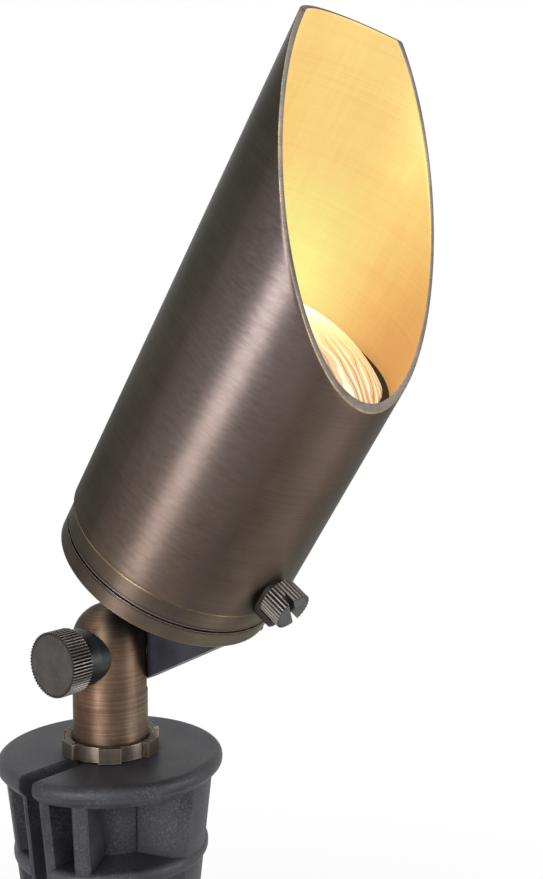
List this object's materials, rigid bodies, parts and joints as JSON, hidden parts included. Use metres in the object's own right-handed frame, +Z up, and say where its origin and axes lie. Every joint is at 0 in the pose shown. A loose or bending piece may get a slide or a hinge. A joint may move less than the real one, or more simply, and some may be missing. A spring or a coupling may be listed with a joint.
{
  "type": "garden spike spotlight",
  "caption": "Aged brass uplight with an oblique glare shroud on a tilting knuckle, standing on a moulded ground spike.",
  "frame": {"origin": "on the stake's axis at the flange's top face, which is ground level", "axes": "+Z up the stake's axis; the knuckle pivots about X with its knob at -X; the head leans towards -Y"},
  "size_m": [0.0635, 0.1213, 0.4075],
  "materials": {
    "stake_plastic": "charcoal moulded plastic, slight sheen",
    "stem_brass": "aged copper brown, turned rings",
    "nut_brass": "aged grey bronze",
    "knob_brass": "dark bronze, knurled",
    "collar_rubber": "dark, satin",
    "nylon": "natural nylon",
    "lug_casting": "near black, smooth",
    "screw_steel": "bright",
    "cap_brass": "aged bronze, brushed",
    "seal_rubber": "black",
    "housing_brass": "aged bronze, brushed",
    "gasket_rubber": "dark brown",
    "lens_glass": "clear, polished",
    "lamp_bezel": "dark grey",
    "optic_clear": "clear moulding",
    "board_white": "white solder mask",
    "emitter": "yellow phosphor",
    "sink_black": "dark anodised",
    "base_white": "white",
    "pin_nickel": "bright nickel",
    "socket_ceramic": "unglazed ceramic",
    "bracket_steel": "zinc plated",
    "ring_rubber": "black",
    "shroud_brass": "aged bronze, brushed; gold brushed inside",
    "boss_brass": "dark bronze"
  },
  "bodies": {
    "spike": {"ground_spike": "stake_plastic"},
    "stem": {"knuckle_stem": "stem_brass", "clamp_collar": "collar_rubber", "friction_washer": "nylon"},
    "lock_nut": {"lock_nut": "nut_brass"},
    "clamp_knob": {"clamp_knob": "knob_brass"},
    "head": {"head_lug": "lug_casting", "lug_screw_1": "screw_steel", "lug_screw_2": "screw_steel", "rear_cap": "cap_brass", "cap_seal": "seal_rubber", "lamp_housing": "housing_brass", "lens_gasket": "gasket_rubber", "front_lens": "lens_glass", "lamp_bezel": "lamp_bezel", "lamp_optic": "optic_clear", "emitter_board": "board_white", "emitter_1": "emitter", "emitter_2": "emitter", "emitter_3": "emitter", "heat_sink": "sink_black", "lamp_base": "base_white", "lamp_pin_1": "pin_nickel", "lamp_pin_2": "pin_nickel", "lamp_socket": "socket_ceramic", "socket_bracket": "bracket_steel", "bracket_screw_1": "screw_steel", "bracket_screw_2": "screw_steel"},
    "shroud_ring": {"shroud_ring": "ring_rubber"},
    "shroud": {"glare_shroud": "shroud_brass", "screw_boss": "boss_brass"},
    "shroud_screw": {"shroud_screw": "knob_brass"}
  },
  "joints": [
    {"name": "stem_swivel", "type": "hinge", "parent": "spike", "child": "stem", "pos_m": [0, 0, 0], "axis": [0, 0, 1], "range_deg": [-180, 180]},
    {"name": "lock_nut_turn", "type": "hinge", "parent": "stem", "child": "lock_nut", "pos_m": [0, 0, 0.002], "axis": [0, 0, 1], "range_deg": [-60, 2520]},
    {"name": "clamp_knob_turn", "type": "hinge", "parent": "stem", "child": "clamp_knob", "pos_m": [-0.018, 0, 0.0288], "axis": [-1, 0, 0], "range_deg": [0, 1800]},
    {"name": "head_tilt", "type": "hinge", "parent": "stem", "child": "head", "pos_m": [0, 0, 0.0288], "axis": [1, 0, 0], "range_deg": [-93, 26]},
    {"name": "shroud_turn", "type": "hinge", "parent": "head", "child": "shroud_ring", "pos_m": [0, -0.05635, 0.10579], "axis": [0, -0.5519, 0.8339], "continuous": true},
    {"name": "shroud_slide", "type": "slide", "parent": "shroud_ring", "child": "shroud", "axis": [0, -0.5519, 0.8339], "range_m": [0, 0.035]},
    {"name": "shroud_screw_turn", "type": "hinge", "parent": "shroud", "child": "shroud_screw", "pos_m": [0, -0.06319, 0.05089], "axis": [0, -0.8339, -0.5519], "range_deg": [0, 1080]}
  ]
}
